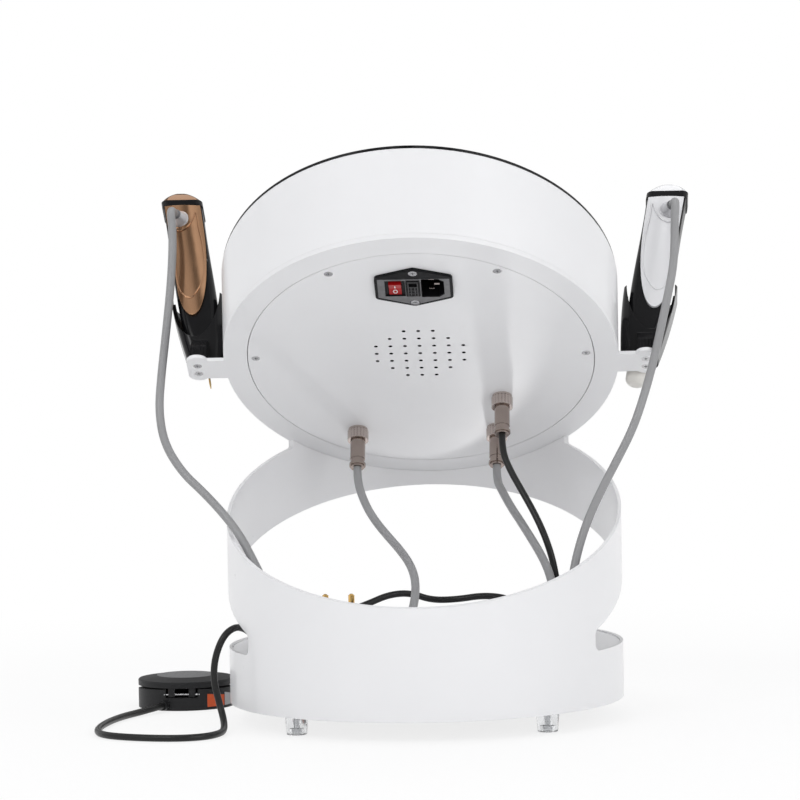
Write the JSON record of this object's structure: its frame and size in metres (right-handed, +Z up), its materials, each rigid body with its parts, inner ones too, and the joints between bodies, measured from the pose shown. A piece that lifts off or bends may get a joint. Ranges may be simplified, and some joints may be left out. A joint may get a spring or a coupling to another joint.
{
  "type": "desktop skin-care unit",
  "caption": "Round desktop skin-care unit: white tube stand with a slanted screen head, gold and white handpieces in black side cradles, grey leads and a foot pedal.",
  "frame": {"origin": "on the tube's vertical axis at floor level, in the middle of the four feet", "axes": "+Z up, +Y towards the service panel, -Y towards the user and the screen, +X towards the gold handpiece"},
  "size_m": [0.4531, 0.3, 0.4335],
  "materials": {
    "white_shell": "moulded, glossy",
    "white_plate": "powder coated, satin",
    "black_gloss": "moulded, glossy",
    "black_plastic": "moulded, fine texture",
    "rose_gold": "metallic lacquer",
    "white_grip": "moulded, glossy",
    "silver_gland": "metallic lacquer",
    "grey_lead": "smooth jacket",
    "black_lead": "smooth jacket",
    "screen_glass": "polished black cover glass",
    "nickel": "plated, slightly warm",
    "steel": "zinc plated",
    "brass": "turned",
    "gold_metal": "plated",
    "red_plastic": "moulded, glossy",
    "grey_plastic": "moulded",
    "clear_plastic": "clear",
    "milky_plastic": "translucent",
    "circuit_board": "solder mask",
    "aluminium": "satin"
  },
  "bodies": {
    "stand": {"body_shell": "white_shell", "floor_plate": "white_plate", "deck": "white_plate", "ballast": "steel", "feet": "clear_plastic", "foot_screws": "steel", "rear_plate": "white_plate", "service_panel": "white_plate", "panel_screws": "steel", "arm_screws": "steel", "inlet_screws": "steel", "inlet_housing": "black_plastic", "inlet_pins": "nickel", "jacks": "nickel", "gold_plug": "nickel", "white_plug": "nickel", "pedal_plug": "nickel", "fan_frame": "black_plastic", "power_supply": "aluminium", "hv_modules": "black_gloss", "screen_glass": "screen_glass", "screen_frame": "white_shell", "display": "black_plastic", "main_board": "circuit_board", "gold_cradle": "black_gloss", "white_cradle": "black_gloss", "tip_block": "black_plastic", "pedal_base": "black_plastic", "hinge_wire": "steel", "pedal_switch": "black_plastic", "pedal_spring": "steel", "gold_lead": "grey_lead", "white_lead": "grey_lead", "pedal_lead": "black_lead"},
    "gold_handpiece": {"gold_rear_shell": "rose_gold", "gold_front_cover": "rose_gold", "gold_frame": "black_gloss", "gold_cap": "rose_gold", "gold_gland": "silver_gland", "gold_grip_board": "circuit_board", "gold_nozzle": "gold_metal"},
    "gold_trigger": {"gold_button": "silver_gland"},
    "white_handpiece": {"white_rear_shell": "white_grip", "white_front_cover": "white_grip", "white_frame": "black_gloss", "white_cap": "white_grip", "white_gland": "silver_gland", "white_grip_board": "circuit_board", "white_nozzle": "white_grip"},
    "white_trigger": {"white_button": "silver_gland"},
    "nozzle_cover": {"white_tip_cover": "milky_plastic"},
    "power_rocker": {"rocker": "red_plastic"},
    "fuse_tray": {"fuse_drawer": "grey_plastic"},
    "gold_ring": {"gold_plug_ring": "nickel"},
    "white_ring": {"white_plug_ring": "nickel"},
    "pedal_ring": {"pedal_plug_ring": "nickel"},
    "fan_wheel": {"fan_rotor": "black_plastic"},
    "foot_plate": {"pedal_top": "black_plastic"},
    "spare_tip_a": {"spare_tip_1": "brass"},
    "spare_tip_b": {"spare_tip_2": "brass"}
  },
  "joints": [
    {"name": "power_switch", "type": "hinge", "parent": "stand", "child": "power_rocker", "pos_m": [0.0145, 0.09323, 0.33247], "axis": [1, 0, 0], "range_deg": [0, 16]},
    {"name": "fuse_pull", "type": "slide", "parent": "stand", "child": "fuse_tray", "axis": [0, 0.5373, -0.8434], "range_m": [0, 0.02]},
    {"name": "gold_handpiece_lift", "type": "slide", "parent": "stand", "child": "gold_handpiece", "axis": [0.1668, -0.5298, 0.8316], "range_m": [0, 0.09]},
    {"name": "white_handpiece_lift", "type": "slide", "parent": "stand", "child": "white_handpiece", "axis": [-0.1668, -0.5298, 0.8316], "range_m": [0, 0.09]},
    {"name": "gold_trigger_press", "type": "slide", "parent": "gold_handpiece", "child": "gold_trigger", "axis": [0, 0.8434, 0.5373], "range_m": [0, 0.0015], "stiffness_N_per_m": 800, "springref_m": -0.0005},
    {"name": "white_trigger_press", "type": "slide", "parent": "white_handpiece", "child": "white_trigger", "axis": [0, 0.8434, 0.5373], "range_m": [0, 0.0015], "stiffness_N_per_m": 800, "springref_m": -0.0005},
    {"name": "nozzle_cover_pull", "type": "slide", "parent": "white_handpiece", "child": "nozzle_cover", "axis": [0.1668, 0.5298, -0.8316], "range_m": [0, 0.03]},
    {"name": "fan_spin", "type": "hinge", "parent": "stand", "child": "fan_wheel", "pos_m": [0, 0.00483, 0.28624], "axis": [0, 0.5373, -0.8434], "continuous": true},
    {"name": "pedal_press", "type": "hinge", "parent": "stand", "child": "foot_plate", "pos_m": [0.1935, -0.0523, 0.0125], "axis": [1, 0, 0], "range_deg": [0, 3], "stiffness_Nm_per_rad": 8, "springref_deg": -2.86, "deforming": ["pedal_spring"]},
    {"name": "spare_tip_a_lift", "type": "slide", "parent": "stand", "child": "spare_tip_a", "axis": [0, 0, 1], "range_m": [0, 0.02]},
    {"name": "spare_tip_b_lift", "type": "slide", "parent": "stand", "child": "spare_tip_b", "axis": [0, 0, 1], "range_m": [0, 0.02]},
    {"name": "gold_ring_turn", "type": "hinge", "parent": "stand", "child": "gold_ring", "pos_m": [0.0543, -0.08629, 0.2104], "axis": [0, 0.5373, -0.8434], "range_deg": [0, 360]},
    {"name": "white_ring_turn", "type": "hinge", "parent": "stand", "child": "white_ring", "pos_m": [-0.0543, -0.08629, 0.2104], "axis": [0, 0.5373, -0.8434], "range_deg": [0, 360]},
    {"name": "pedal_ring_turn", "type": "hinge", "parent": "stand", "child": "pedal_ring", "pos_m": [-0.0599, -0.04454, 0.23699], "axis": [0, 0.5373, -0.8434], "range_deg": [0, 360]}
  ]
}
